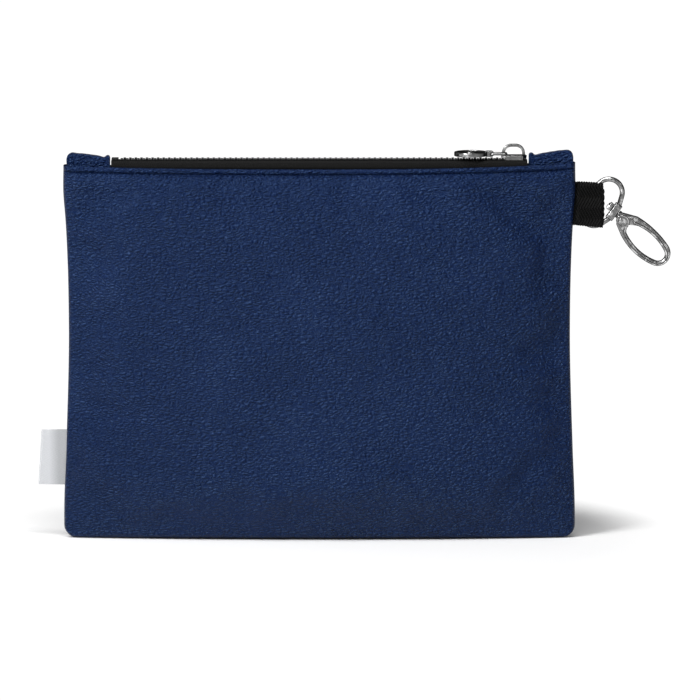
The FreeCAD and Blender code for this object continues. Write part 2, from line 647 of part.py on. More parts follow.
def make_hook_gate():
    """The sprung arm: a forked knuckle around the tongue and a solid tip."""
    body = new_body("hook_gate")
    ring_of_hook(body)
    keep = new_sketch(body, "XZ_Plane")
    add_outline(keep, [("-3", "-14"), ("40", "-14"), ("40", "12"), ("-3", "12")])
    gap = "gate_gap"
    add_outline(keep, [("rivet_u - knuckle * 0.442", "-12"),
                       (f"gate_tip_u - nose_back - {gap}", "-12"),
                       (f"gate_tip_u + nose_ahead - {gap}", "eye_v - 2.4"),
                       ("arm_start_u - 1", "eye_v + 0.3"), ("rivet_u + 1", "rivet_v + 0.3"),
                       ("rivet_u - knuckle * 0.442", "rivet_v")])
    extrude(body, "Pocket", keep, "20", both=True)
    knuckle = new_sketch(body, "XZ_Plane", "-hook_half_thick")
    add_circle(knuckle, "rivet_u", "rivet_v", "knuckle")
    extrude(body, "Pad", knuckle, "2 * hook_half_thick")
    fork = new_sketch(body, "XZ_Plane")
    add_outline(fork, [("-3", "4"), ("-3", "-3.2"), ("rivet_u + 1", "-3.2"),
                       ("arm_start_u + 0.6", "-1.6"), ("arm_start_u + 4", "0.6"),
                       ("arm_start_u + 4", "4")])
    extrude(body, "Pocket", fork, "2 * cheek_start", both=True)
    hole = new_sketch(body, "XZ_Plane")
    add_circle(hole, "rivet_u", "rivet_v", "rivet_hole")
    extrude(body, "Pocket", hole, "8", both=True)
    place(body, "collar_x", "0", "collar_z", "droop")


def make_gate_rivet():
    """The pin through the knuckle with a head on each face."""
    body = new_body("gate_rivet")
    reach = "(hook_half_thick + rivet_head_gap + rivet_head_thick)"
    shank = new_sketch(body, "XZ_Plane", f"-{reach}")
    add_circle(shank, "rivet_u", "rivet_v", "rivet_radius")
    extrude(body, "Pad", shank, f"2 * {reach}")
    for low in ("hook_half_thick + rivet_head_gap", f"-{reach}"):
        head = new_sketch(body, "XZ_Plane", low)
        add_circle(head, "rivet_u", "rivet_v", "rivet_head")
        pad = extrude(body, "Pad", head, "rivet_head_thick")
        face = value("hook_half_thick + rivet_head_gap + rivet_head_thick")
        round_edges(body, pad, "rivet_round", lambda edge: lies_flat_in_y(edge)
                    and abs(abs(edge.BoundBox.YMin) - face) < 1e-3
                    and edge.BoundBox.XLength > value("2 * rivet_radius") + 0.1
                    and edge.BoundBox.YMin * (-1 if low.startswith("hook") else 1) > 0)
    place(body, "collar_x", "0", "collar_z", "droop")


def make_gate_spring():
    """A small coil around the rivet, in the pocket of the tongue."""
    body = new_body("gate_spring")
    wire = new_sketch(body, "XY_Plane")
    add_circle(wire, "spring_radius", "0", "spring_wire")
    coil = body.newObject("PartDesign::AdditiveHelix", "gate_spring_coil")
    coil.Profile = wire
    coil.ReferenceAxis = (origin_part(body, "Y_Axis"), [""])
    coil.Mode = 0
    coil.setExpression("Pitch", bound("spring_pitch"))
    coil.setExpression("Height", bound("spring_tall"))
    place(body, "collar_x + rivet_u * cos(droop) + rivet_v * sin(droop)",
          "-tongue_half_thick + 0.2",
          "collar_z - rivet_u * sin(droop) + rivet_v * cos(droop)")


def make_side_label():
    """A folded ribbon label sewn into the left seam."""
    body = new_body("side_label")
    fold = new_sketch(body, "XY_Plane", "label_low")
    half = "label_half_thick"
    inner = "(label_half_thick - label_cloth)"
    turn = "-(label_end - label_half_thick)"
    add_outline(fold, [("-label_start", half), (turn, half), (turn, f"-{half}"),
                       ("-label_start", f"-{half}"), ("-label_start", f"-{inner}"),
                       (turn, f"-{inner}"), (turn, inner), ("-label_start", inner)],
                {1: half + " + 0.001", 5: f"-({inner} + 0.001)"})
    extrude(body, "Pad", fold, "label_high - label_low")


make_webbing_loop()
make_d_ring()
make_swivel_head()
make_hook_frame()
make_hook_gate()
make_gate_rivet()
make_gate_spring()
make_side_label()
doc.recompute()

bodies = [item for item in doc.Objects if item.TypeId == "PartDesign::Body"]
for item in doc.Objects:
    if "Invalid" in item.State or "Error" in item.State:
        raise RuntimeError(f"{item.Name} could not be built")
for body in bodies:
    if body.Shape.isNull() or not body.Shape.isValid() or not body.Shape.Solids:
        raise RuntimeError(f"{body.Label} has no valid shape")
os.makedirs("parts", exist_ok=True)
for body in bodies:
    body.Shape.exportStep(f"parts/{body.Label}.step")
    box = body.Shape.optimalBoundingBox(True)
    limits = (box.XMin, box.XMax, box.YMin, box.YMax, box.ZMin, box.ZMax)
    print(body.Label, len(body.Shape.Solids), round(body.Shape.Volume),
          [round(limit, 1) for limit in limits])
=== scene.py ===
import json
import math

import bpy
import numpy as np
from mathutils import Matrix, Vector


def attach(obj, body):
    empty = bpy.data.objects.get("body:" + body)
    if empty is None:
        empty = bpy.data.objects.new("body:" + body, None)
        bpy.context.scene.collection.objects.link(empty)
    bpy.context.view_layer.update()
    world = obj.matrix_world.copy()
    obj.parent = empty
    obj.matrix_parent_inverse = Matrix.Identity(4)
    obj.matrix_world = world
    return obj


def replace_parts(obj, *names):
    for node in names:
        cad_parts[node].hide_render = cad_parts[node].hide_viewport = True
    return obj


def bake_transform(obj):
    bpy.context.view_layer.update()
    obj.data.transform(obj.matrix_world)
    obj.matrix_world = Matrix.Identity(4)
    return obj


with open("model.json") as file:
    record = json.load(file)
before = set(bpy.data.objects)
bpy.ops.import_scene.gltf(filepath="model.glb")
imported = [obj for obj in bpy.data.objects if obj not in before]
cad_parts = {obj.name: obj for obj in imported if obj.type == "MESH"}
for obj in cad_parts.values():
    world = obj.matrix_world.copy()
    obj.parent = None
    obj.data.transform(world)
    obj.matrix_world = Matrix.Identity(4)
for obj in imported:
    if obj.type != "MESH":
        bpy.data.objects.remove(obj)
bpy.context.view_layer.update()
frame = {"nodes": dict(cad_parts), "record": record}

MM = 0.001

# The pouch's shape by height: height, half width, half depth, half depth at the seam (mm).
LEVELS = np.array([
    (0.0, 115.5, 8.5, 1.8),
    (13.0, 115.5, 14.8, 1.9),
    (42.0, 114.4, 16.6, 1.9),
    (95.0, 113.0, 14.8, 1.9),
    (145.0, 114.3, 10.6, 2.4),
    (157.5, 115.2, 9.0, 3.4),
    (168.6, 115.1, 7.4, 4.8)])
TWILL_STRIPE = 5.0      # the weave's slant turns over after this height
TWILL_SLOPE = 0.55
WEBBING_RIB = 1.3
INWARD = 0.35           # the padding lets the leather sink no further than this
GROOVE_DEEP = 1.5       # the pulled-in line below the rolled top edge
FOOT_ROUND = 2.4
CORNER = 5.5
TAB_INNER, TAB_LONG = 94.0, 20.8      # the end tabs: inner end from the middle, and length
TAB_FOOT, TAB_HIGH = 161.0, 14.8
TAPE_HALF = 93.5
TAPE_NEAR = 0.72                      # from the middle to the tape's edge at the teeth
WEB_LOW, WEB_HIGH = 142.2, 161.6
LABEL_LOW, LABEL_HIGH = 24.0, 49.1
LABEL_SEAM, LABEL_LONG = -116.0, 9.5
LABEL_LEAN = 1.5                      # how far the label's lower end slants outwards
SIM_FRAMES = 20
MOST_MOVED = 3.0                      # no point of the simulated cloth may move further
LENS, SENSOR = 400, 36


# ---------------------------------------------------------------- materials

def material(name):
    """A new node material: itself, its nodes, its links and its surface shader."""
    mat = bpy.data.materials.new(name)
    mat.use_nodes = True
    nodes = mat.node_tree.nodes
    links = mat.node_tree.links
    return mat, nodes, links, nodes["Principled BSDF"]


def add(nodes, kind, **settings):
    """A new node; each setting is an input where there is one of that name."""
    node = nodes.new(kind)
    for key, item in settings.items():
        if key in node.inputs:
            node.inputs[key].default_value = item
        else:
            setattr(node, key, item)
    return node


def ramp(nodes, stops):
    """A colour ramp from (place, colour) stops."""
    node = nodes.new("ShaderNodeValToRGB")
    elements = node.color_ramp.elements
    while len(elements) < len(stops):
        elements.new(0.5)
    for element, (place, colour) in zip(elements, stops):
        element.position = place
        element.color = (*colour, 1)
    return node


def grey(level):
    return (level, level, level)


def pebbles(nodes, links, place):
    """Height of the grain at a place: domed cells, with finer cells on top."""
    total = None
    for scale, weight in ((600.0, 1.0), (1450.0, 0.35)):
        cells = add(nodes, "ShaderNodeTexVoronoi", feature="DISTANCE_TO_EDGE", Scale=scale)
        links.new(place, cells.inputs["Vector"])
        dome = add(nodes, "ShaderNodeMapRange", interpolation_type="SMOOTHERSTEP")
        dome.inputs["From Max"].default_value = 0.36
        dome.inputs["To Max"].default_value = weight
        links.new(cells.outputs["Distance"], dome.inputs["Value"])
        if total is None:
            total = dome.outputs[0]
            continue
        both = add(nodes, "ShaderNodeMath", operation="ADD")
        links.new(total, both.inputs[0])
        links.new(dome.outputs[0], both.inputs[1])
        total = both.outputs[0]
    return total


def leather_material():
    """Navy leather: small uneven pebbles in wandering rows, each with a painted highlight along its
    upper rim and painted shade on its lower side.
    """
    mat, nodes, links, surface = material("navy pebbled leather")
    coords = nodes.new("ShaderNodeTexCoord")
    warp = add(nodes, "ShaderNodeTexNoise", Scale=210.0, Detail=3.0)
    links.new(coords.outputs["Object"], warp.inputs["Vector"])
    bent = add(nodes, "ShaderNodeVectorMath", operation="MULTIPLY_ADD")
    bent.inputs[1].default_value = (0.0022, 0.0022, 0.0022)
    links.new(warp.outputs["Color"], bent.inputs[0])
    links.new(coords.outputs["Object"], bent.inputs[2])
    stretch = add(nodes, "ShaderNodeMapping")
    stretch.inputs["Rotation"].default_value = (0.0, 0.25, 0.0)
    stretch.inputs["Scale"].default_value = (0.66, 1.0, 1.3)
    links.new(bent.outputs[0], stretch.inputs["Vector"])
    # Painted highlight and shade: the grain is also sampled a little higher up. The colour turns
    # paler where the surface falls away upwards and darker where it rises, as on a pebble lit from
    # above.
    above = add(nodes, "ShaderNodeVectorMath", operation="ADD")
    above.inputs[1].default_value = (-0.0001, 0.0, 0.00042)
    links.new(stretch.outputs[0], above.inputs[0])
    height = pebbles(nodes, links, stretch.outputs[0])
    drop = add(nodes, "ShaderNodeMath", operation="SUBTRACT")
    links.new(height, drop.inputs[0])
    links.new(pebbles(nodes, links, above.outputs[0]), drop.inputs[1])
    patches = add(nodes, "ShaderNodeTexNoise", Scale=26.0, Detail=2.0)
    links.new(coords.outputs["Object"], patches.inputs["Vector"])
    strength = add(nodes, "ShaderNodeMapRange")
    strength.inputs["From Min"].default_value = 0.36
    strength.inputs["From Max"].default_value = 0.58
    strength.inputs["To Min"].default_value = 0.68
    strength.inputs["To Max"].default_value = 1.0
    links.new(patches.outputs["Fac"], strength.inputs["Value"])
    bump = add(nodes, "ShaderNodeBump", Distance=0.0005)
    links.new(height, bump.inputs["Height"])
    links.new(strength.outputs[0], bump.inputs["Strength"])
    links.new(bump.outputs[0], surface.inputs["Normal"])
    # The painted highlight and shade, scaled by the patches, set the place on the colour ramp below.
    rim = add(nodes, "ShaderNodeMath", operation="MULTIPLY_ADD")
    rim.inputs[2].default_value = 0.5
    links.new(drop.outputs[0], rim.inputs[0])
    links.new(strength.outputs[0], rim.inputs[1])
    tint = ramp(nodes, [(0.0, (0.0006, 0.0034, 0.024)), (0.42, (0.0017, 0.0070, 0.041)),
                        (0.6, (0.0024, 0.0090, 0.047)), (1.0, (0.0120, 0.0270, 0.082))])
    links.new(rim.outputs[0], tint.inputs["Fac"])
    links.new(tint.outputs["Color"], surface.inputs["Base Color"])
    surface.inputs["Roughness"].default_value = 0.38
    surface.inputs["Specular IOR Level"].default_value = 0.3
    surface.inputs["Specular Tint"].default_value = (0.36, 0.6, 1.0, 1.0)
    return mat


def metal_material(name, light, dark, roughness):
    """Antique nickel, stained on faces, with a painted highlight on the edges and painted shade in
    corners and along the outlines.
    """
    mat, nodes, links, surface = material(name)
    coords = nodes.new("ShaderNodeTexCoord")
    solid = nodes.new("ShaderNodeNewGeometry")
    rounded = add(nodes, "ShaderNodeBevel", samples=6, Radius=0.00024)
    stain = add(nodes, "ShaderNodeTexNoise", Scale=380.0, Detail=1.5)
    links.new(coords.outputs["Object"], stain.inputs["Vector"])
    # Painted shade: the occlusion term darkens the colour in corners and recesses, and the facing
    # term darkens it along the outlines.
    corners = add(nodes, "ShaderNodeAmbientOcclusion", samples=16, Distance=0.0022)
    outline = add(nodes, "ShaderNodeLayerWeight", Blend=0.5)
    links.new(rounded.outputs[0], outline.inputs["Normal"])
    shares = []
    for source, low, high, start, end in (
            (stain.outputs["Fac"], 0.34, 0.6, 0.7, 1.0), (corners.outputs["AO"], 0.2, 0.95, 0.1, 1.0),
            (outline.outputs["Facing"], 0.3, 0.75, 1.0, 0.1)):
        share = add(nodes, "ShaderNodeMapRange")
        for key, item in zip(("From Min", "From Max", "To Min", "To Max"), (low, high, start, end)):
            share.inputs[key].default_value = item
        links.new(source, share.inputs["Value"])
        shares.append(share.outputs[0])
    shade = shares[0]
    for share in shares[1:]:
        times = add(nodes, "ShaderNodeMath", operation="MULTIPLY")
        links.new(shade, times.inputs[0])
        links.new(share, times.inputs[1])
        shade = times.outputs[0]
    # Painted highlight: where the rounded normal turns away from the true normal, at the edges, the
    # colour is pushed towards the bright end of the ramp.
    agree = add(nodes, "ShaderNodeVectorMath", operation="DOT_PRODUCT")
    links.new(rounded.outputs[0], agree.inputs[0])
    links.new(solid.outputs["Normal"], agree.inputs[1])
    painted_edge_highlight = add(nodes, "ShaderNodeMapRange")
    painted_edge_highlight.inputs["From Min"].default_value = 0.985
    painted_edge_highlight.inputs["From Max"].default_value = 0.9
    painted_edge_highlight.inputs["To Max"].default_value = 0.55
    links.new(agree.outputs["Value"], painted_edge_highlight.inputs["Value"])
    kept = add(nodes, "ShaderNodeMath", operation="MULTIPLY_ADD")
    links.new(painted_edge_highlight.outputs[0], kept.inputs[0])
    links.new(shares[2], kept.inputs[1])
    links.new(shade, kept.inputs[2])
    # The painted edge highlight lifts the colour into the top stop of this ramp, far above the light
    # grey.
    tint = ramp(nodes, [(0.05, grey(dark)), (0.9, grey(light)), (1.0, grey(light * 2.4))])
    links.new(kept.outputs[0], tint.inputs["Fac"])
    links.new(tint.outputs["Color"], surface.inputs["Base Color"])
    surface.inputs["Metallic"].default_value = 1.0
    surface.inputs["Specular Tint"].default_value = (0.25, 0.25, 0.25, 1.0)
    rough = add(nodes, "ShaderNodeMapRange")
    rough.inputs["To Min"].default_value = roughness + 0.18
    rough.inputs["To Max"].default_value = roughness
    links.new(kept.outputs[0], rough.inputs["Value"])
    links.new(rough.outputs[0], surface.inputs["Roughness"])
    scratch = add(nodes, "ShaderNodeBump", Strength=0.12, Distance=0.00006)
    links.new(stain.outputs["Fac"], scratch.inputs["Height"])
    links.new(rounded.outputs[0], scratch.inputs["Normal"])
    links.new(scratch.outputs[0], surface.inputs["Normal"])
    return mat


def woven_material(name, dark, light, pitch, roughness, relief, shine=0.12):
    """A herringbone weave: twill ribs whose slant turns over from stripe to stripe."""
    mat, nodes, links, surface = material(name)
    coords = nodes.new("ShaderNodeTexCoord")
    split = nodes.new("ShaderNodeSeparateXYZ")
    links.new(coords.outputs["Object"], split.inputs[0])
    fold = add(nodes, "ShaderNodeMath", operation="PINGPONG")
    fold.inputs[1].default_value = TWILL_STRIPE * MM
    links.new(split.outputs["Z"], fold.inputs[0])
    slant = add(nodes, "ShaderNodeMath", operation="MULTIPLY_ADD")
    slant.inputs[1].default_value = -TWILL_SLOPE
    links.new(fold.outputs[0], slant.inputs[0])
    links.new(split.outputs["X"], slant.inputs[2])
    turns = add(nodes, "ShaderNodeMath", operation="MULTIPLY")
    turns.inputs[1].default_value = 2 * math.pi / pitch
    links.new(slant.outputs[0], turns.inputs[0])
    wave = add(nodes, "ShaderNodeMath", operation="SINE")
    links.new(turns.outputs[0], wave.inputs[0])
    fuzz = add(nodes, "ShaderNodeTexNoise", Scale=2500.0, Detail=3.0)
    links.new(coords.outputs["Object"], fuzz.inputs["Vector"])
    height = add(nodes, "ShaderNodeMath", operation="ADD")
    links.new(wave.outputs[0], height.inputs[0])
    links.new(fuzz.outputs["Fac"], height.inputs[1])
    bump = add(nodes, "ShaderNodeBump", Strength=0.8, Distance=relief)
    links.new(height.outputs[0], bump.inputs["Height"])
    links.new(bump.outputs[0], surface.inputs["Normal"])
    level = add(nodes, "ShaderNodeMapRange")
    level.inputs["From Min"].default_value = -1.0
    level.inputs["From Max"].default_value = 2.0
    links.new(height.outputs[0], level.inputs["Value"])
    tint = ramp(nodes, [(0.0, dark), (1.0, light)])
    links.new(level.outputs[0], tint.inputs["Fac"])
    links.new(tint.outputs["Color"], surface.inputs["Base Color"])
    surface.inputs["Roughness"].default_value = roughness
    surface.inputs["Specular IOR Level"].default_value = shine
    return mat


def label_material():
    """Satin ribbon, lighter on its outer half, with painted shade darkening it beside the seam."""
    mat = woven_material("satin ribbon", (0.43, 0.44, 0.46), (0.66, 0.67, 0.69), 0.0006, 0.42,
                         0.00004)
    nodes, links = mat.node_tree.nodes, mat.node_tree.links
    surface = nodes["Principled BSDF"]
    weave = surface.inputs["Base Color"].links[0].from_socket
    coords = nodes.new("ShaderNodeTexCoord")
    split = nodes.new("ShaderNodeSeparateXYZ")
    links.new(coords.outputs["Object"], split.inputs[0])
    # Painted shade: the colour is darkened to 0.68 over a narrow band of x next to the seam.
    painted_seam_shade = add(nodes, "ShaderNodeMapRange")
    painted_seam_shade.inputs["From Min"].default_value = -0.1222
    painted_seam_shade.inputs["From Max"].default_value = -0.1178
    painted_seam_shade.inputs["To Min"].default_value = 1.0
    painted_seam_shade.inputs["To Max"].default_value = 0.68
    links.new(split.outputs["X"], painted_seam_shade.inputs["Value"])
    shaded = add(nodes, "ShaderNodeVectorMath", operation="SCALE")
    links.new(weave, shaded.inputs[0])
    links.new(painted_seam_shade.outputs[0], shaded.inputs["Scale"])
    links.new(shaded.outputs[0], surface.inputs["Base Color"])
    return mat


def foam_material():
    """Grey padding foam with small open cells."""
    mat, nodes, links, surface = material("open-cell foam")
    coords = nodes.new("ShaderNodeTexCoord")
    cells = add(nodes, "ShaderNodeTexVoronoi", Scale=1100.0)
    links.new(coords.outputs["Object"], cells.inputs["Vector"])
    tint = ramp(nodes, [(0.0, grey(0.16)), (0.6, grey(0.36))])
    links.new(cells.outputs["Distance"], tint.inputs["Fac"])
    links.new(tint.outputs["Color"], surface.inputs["Base Color"])
    bump = add(nodes, "ShaderNodeBump", Strength=0.7, Distance=0.0003)
    links.new(cells.outputs["Distance"], bump.inputs["Height"])
    links.new(bump.outputs[0], surface.inputs["Normal"])
    surface.inputs["Roughness"].default_value = 0.95
    return mat


LOOKS = {
    "navy_leather": leather_material(),
    "foam": foam_material(),
    "lining_cloth": woven_material("lining cloth", grey(0.012), grey(0.035), 0.0008, 0.85, 0.00006),
    "zipper_cloth": woven_material("zipper tape", grey(0.003), grey(0.012), 0.0009, 0.8, 0.0001),
    "zipper_metal": metal_material("zipper metal", 0.03, 0.006, 0.35),
    "dark_nickel": metal_material("antique nickel", 0.25, 0.008, 0.2),
    "spring_steel": metal_material("spring steel", 0.4, 0.1, 0.3),
    "black_webbing": woven_material("black webbing", grey(0.0002), grey(0.006),
                                    WEBBING_RIB * MM, 0.6, 0.0003, 0.12),
    "satin_ribbon": label_material(),
}
for entry in frame["record"]["subparts"]:
    mesh = frame["nodes"][entry["node"]].data
    mesh.materials.clear()
    mesh.materials.append(LOOKS[entry["material_slot"]])


# ---------------------------------------------------------------- mesh helpers

def smooth_noise(points, cell, seed):
    """Value noise between -1 and 1 at the given points (n x 2), on a seeded lattice."""
    lattice = np.random.default_rng(seed).uniform(-1, 1, (64, 64))
    p = points / cell + 17.3
    base = np.floor(p).astype(int)
    part = p - base
    part = part * part * (3 - 2 * part)
    a = lattice[base[:, 0] % 64, base[:, 1] % 64]
    b = lattice[(base[:, 0] + 1) % 64, base[:, 1] % 64]
    c = lattice[base[:, 0] % 64, (base[:, 1] + 1) % 64]
    d = lattice[(base[:, 0] + 1) % 64, (base[:, 1] + 1) % 64]
    low = a + (b - a) * part[:, 0]
    high = c + (d - c) * part[:, 0]
    return low + (high - low) * part[:, 1]


def build(name, verts, faces, slot, flip=False):
    """A smooth-shaded mesh object from points in millimetres."""
    if flip:
        faces = [tuple(reversed(face)) for face in faces]
    mesh = bpy.data.meshes.new(name)
    mesh.from_pydata([tuple(v) for v in np.asarray(verts) * MM], [], faces)
    mesh.polygons.foreach_set("use_smooth", [True] * len(mesh.polygons))
    mesh.materials.append(LOOKS[slot])
    mesh.update()
    obj = bpy.data.objects.new(name, mesh)
    bpy.context.scene.collection.objects.link(obj)
    return obj


def grid_faces(rows, columns, wrap_rows=False):
    """Quads over a grid of points; the last row can join the first."""
    faces = []
    for i in range(rows if wrap_rows else rows - 1):
        k = (i + 1) % rows
        for j in range(columns - 1):
            faces.append((i * columns + j, i * columns + j + 1,
                          k * columns + j + 1, k * columns + j))
    return faces


BOX_FACES = [(0, 1, 3, 2), (4, 6, 7, 5), (0, 4, 5, 1), (2, 3, 7, 6), (0, 2, 6, 4), (1, 5, 7, 3)]


def box_points(xs, ys, zs):
    """The eight corners of a box, in the order that BOX_FACES expects."""
    return [(x, y, z) for x in xs for y in ys for z in zs]


# ---------------------------------------------------------------- leather panels

def level(height, column):
    """A dimension of the pouch at a height, smoothly between the levels."""
    knots, sizes = LEVELS[:, 0], LEVELS[:, column]
    slopes = np.gradient(sizes, knots)
    height = np.clip(height, knots[0], knots[-1])
    index = np.clip(np.searchsorted(knots, height) - 1, 0, len(knots) - 2)
    span = knots[index + 1] - knots[index]
    t = (height - knots[index]) / span
    return ((2 * t**3 - 3 * t**2 + 1) * sizes[index] + (t**3 - 2 * t**2 + t) * span * slopes[index]
            + (3 * t**2 - 2 * t**3) * sizes[index + 1] + (t**3 - t**2) * span * slopes[index + 1])


def lip_rise(x):
    """How far the top edge stands above its lowest line: it climbs towards the ends."""
    return np.where(x > 0, 2.3, 1.1) * (np.abs(x) / 112) ** 2.6


def face_point(x_share, z):
    """A point of the face: x as a share of the half width, height in mm; y is half depth."""
    half = level(z, 1)
    depth, seam = level(z, 2), level(z, 3)
    turn = np.clip((FOOT_ROUND - z) / FOOT_ROUND, 0, 1)
    depth = depth * (1 - turn**2.8) ** (1 / 2.8)
    seam = seam * (1 - turn**2.8) ** (1 / 2.8)
    bow = np.clip(1 - np.abs(x_share) ** 2, 0, 1) ** 0.8
    y = seam + (depth - seam) * bow
    side = np.clip((np.abs(x_share) - 0.985) / 0.015, 0, 1)
    y = y * np.sqrt(np.clip(1 - side**2.4, 0, 1))
    x = x_share * half
    corner = np.clip((CORNER - z) / CORNER, 0, 1)
    x = x - np.sign(x) * np.abs(x_share) ** 30 * CORNER * (1 - np.sqrt(1 - corner**2))
    return x, y


def panel_surface(shares, heights, top_gap):
    """Front-panel points for a grid of x shares and heights (0 to 1 of the way to the groove)."""
    share, part = np.meshgrid(shares, heights)
    x_rim = share * level(LEVELS[-1, 0], 1)
    top = LEVELS[-1, 0] - 0.5 + lip_rise(x_rim)
    z = part * (top - top_gap)
    x, y = face_point(share, z)
    return x, y, z, top


def inflate():
    """Cloth pressed out from inside with its edges held: gives soft folds on a coarse grid."""
    columns, rows = 49, 37
    shares = np.linspace(-1, 1, columns)
    heights = np.linspace(0, 1, rows)
    x, y, z, _ = panel_surface(shares, heights, 2.4)
    y = np.maximum(y * 0.94, 0.3)
    front = np.stack([x, -y, z], -1).reshape(-1, 3)
    back = front * (1, -1, 1)
    ripple = smooth_noise(front[:, [0, 2]], 21, 5) * 0.5
    front[:, 1] -= ripple
    back[:, 1] += smooth_noise(back[:, [0, 2]], 23, 6) * 0.5
    count = rows * columns
    faces = grid_faces(rows, columns)
    faces += [tuple(count + k for k in reversed(face)) for face in grid_faces(rows, columns)]
    ring = ([j for j in range(columns)] + [i * columns + columns - 1 for i in range(1, rows)]
            + [(rows - 1) * columns + j for j in range(columns - 2, -1, -1)]
            + [i * columns for i in range(rows - 2, 0, -1)])
    for a, b in zip(ring, ring[1:] + ring[:1]):
        faces.append((b, a, count + a, count + b))
    start = np.concatenate([front, back])
    cloth = build("inflating_cloth", start, faces, "navy_leather")
    pins = cloth.vertex_groups.new(name="held")
    pins.add([k for k in ring] + [count + k for k in ring], 1.0, "REPLACE")
    sim = cloth.modifiers.new("cloth", "CLOTH")
    settings = sim.settings
    settings.quality = 6
    settings.mass = 0.4
    settings.tension_stiffness = 12
    settings.compression_stiffness = 12
    settings.bending_stiffness = 1.2
    settings.vertex_group_mass = "held"
    settings.shrink_min = -0.022
    settings.use_pressure = True
    settings.uniform_pressure_force = 4.0
    settings.effector_weights.gravity = 0.0
    sim.point_cache.frame_start = 1
    sim.point_cache.frame_end = SIM_FRAMES
    scene = bpy.context.scene
    for step in range(1, SIM_FRAMES + 1):
        scene.frame_set(step)
    graph = bpy.context.evaluated_depsgraph_get()
    posed = cloth.evaluated_get(graph).to_mesh()
    end = np.zeros(len(posed.vertices) * 3)
    posed.vertices.foreach_get("co", end)
    moved = end.reshape(-1, 3) / MM - start
    scene.frame_set(1)
    bpy.data.objects.remove(cloth)
    moved = np.nan_to_num(np.clip(moved, -MOST_MOVED, MOST_MOVED))
    return moved[:count].reshape(rows, columns, 3), moved[count:].reshape(rows, columns, 3)


def resample(field, heights, shares):
    """A coarse field read smoothly at finer places, with cubic B-spline weights."""
    def weights(places, size):
        spot = np.clip(places, 0, 1) * (size - 1)
        base = np.minimum(np.floor(spot).astype(int), size - 2)
        t = (spot - base)[:, None]
        parts = np.concatenate([(1 - t)**3, 3 * t**3 - 6 * t**2 + 4,
                                -3 * t**3 + 3 * t**2 + 3 * t + 1, t**3], 1) / 6
        table = np.zeros((len(places), size))
        for k in range(4):
            np.add.at(table, (np.arange(len(places)), np.clip(base + k - 1, 0, size - 1)),
                      parts[:, k])
        return table
    down = weights(heights, field.shape[0])
    across = weights((shares + 1) / 2, field.shape[1])
    return np.einsum("ri,ijc,sj->rsc", down, field, across)


def leather_panel(name, side, folds, seed, columns=381, rows=230):
    """One leather panel from the bottom seam up to its rolled top edge."""
    spread = np.linspace(-1, 1, columns)
    shares = np.sin(spread * math.pi / 2) * 0.35 + spread * 0.65
    heights = np.concatenate([np.linspace(0, 0.03, 22)[:-1], np.linspace(0.03, 1, rows)])
    x, y, z, top = panel_surface(shares, heights, 2.2)
    below = (top - 2.2) - z
    edge = np.clip((1 - np.abs(shares)) * 115 / 7.0, 0, 1)[None, :]
    calm = edge * np.clip(z / 9, 0, 1) * np.clip(below / 7, 0, 1)
    flat = np.stack([x.ravel(), z.ravel()], 1)
    swell = 0.14 * smooth_noise(flat, 34, seed) + 0.06 * smooth_noise(flat, 13, seed + 1)
    y = y + calm * swell.reshape(y.shape)
    pucker = smooth_noise(flat * (0.35, 1.0), 5.2, seed + 2).reshape(y.shape)
    near = np.exp(-((1 - np.abs(shares)) * 115 / 9.0) ** 2)[None, :]
    y = y + 0.16 * pucker * near * np.clip(z / 12, 0, 1) * np.clip(below / 9, 0, 1) * edge
    tucks = smooth_noise(flat * (1.0, 0.3), 7.5, seed + 3).reshape(y.shape)
    y = y + 0.2 * tucks * np.exp(-(below / 6.0) ** 2) * np.clip(below / 2, 0, 1) * edge
    y = y + (0.95 * np.exp(-((below - 5.0) / 3.6) ** 2) - GROOVE_DEEP * np.exp(-(below / 0.95) ** 2)
             ) * edge
    if folds is not None:
        shift = resample(folds, heights, shares)
        settled = calm * np.clip(z / 30, 0, 1)
        push = shift[..., 1] * side
        push = np.where(push < 0, INWARD * np.tanh(push / INWARD), push)
        x = x + shift[..., 0] * settled
        y = y + push * settled
        z = z + shift[..., 2] * settled
    rim_y = level(LEVELS[-1, 0], 3) + (level(LEVELS[-1, 0], 2) - level(LEVELS[-1, 0], 3)) * (
        1 - shares**2)
    rim_x = shares * level(LEVELS[-1, 0], 1)
    close = np.sqrt(np.clip(1 - np.clip((np.abs(shares) - 0.985) / 0.015, 0, 1) ** 2.4, 0, 1))
    wave = smooth_noise(np.stack([rim_x, rim_x * 0], 1), 16, seed + 4) * 0.16
    turn = np.linspace(-0.62, 1.0, 12) * math.pi
    xs, ys, zs = [x], [y], [z]
    for angle in turn:
        out = -0.75 + 0.95 * np.cos(angle) + wave
        up = -1.1 + 1.1 * np.sin(angle)
        ring_y = (rim_y + 0.35 + out) * close
        xs.append(rim_x[None, :])
        ys.append(ring_y[None, :])
        zs.append((top[0] + up)[None, :])
    inside = (rim_y - 1.35 + wave) * close
    for drop in (1.8, 2.8):
        xs.append(rim_x[None, :])
        ys.append(inside[None, :])
        zs.append((top[0] - drop)[None, :])
    x, y, z = (np.concatenate(part) for part in (xs, ys, zs))
    verts = np.stack([x.ravel(), side * y.ravel(), z.ravel()], 1)
    panel = build(name, verts, grid_faces(len(x), columns), "navy_leather", flip=side > 0)
    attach(panel, "pouch")
    return panel


folds_front, folds_back = inflate()
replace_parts(leather_panel("front_leather", -1, folds_front, 11), "front_panel")
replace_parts(leather_panel("back_leather", 1, folds_back, 31), "back_panel")


# ---------------------------------------------------------------- soft pieces

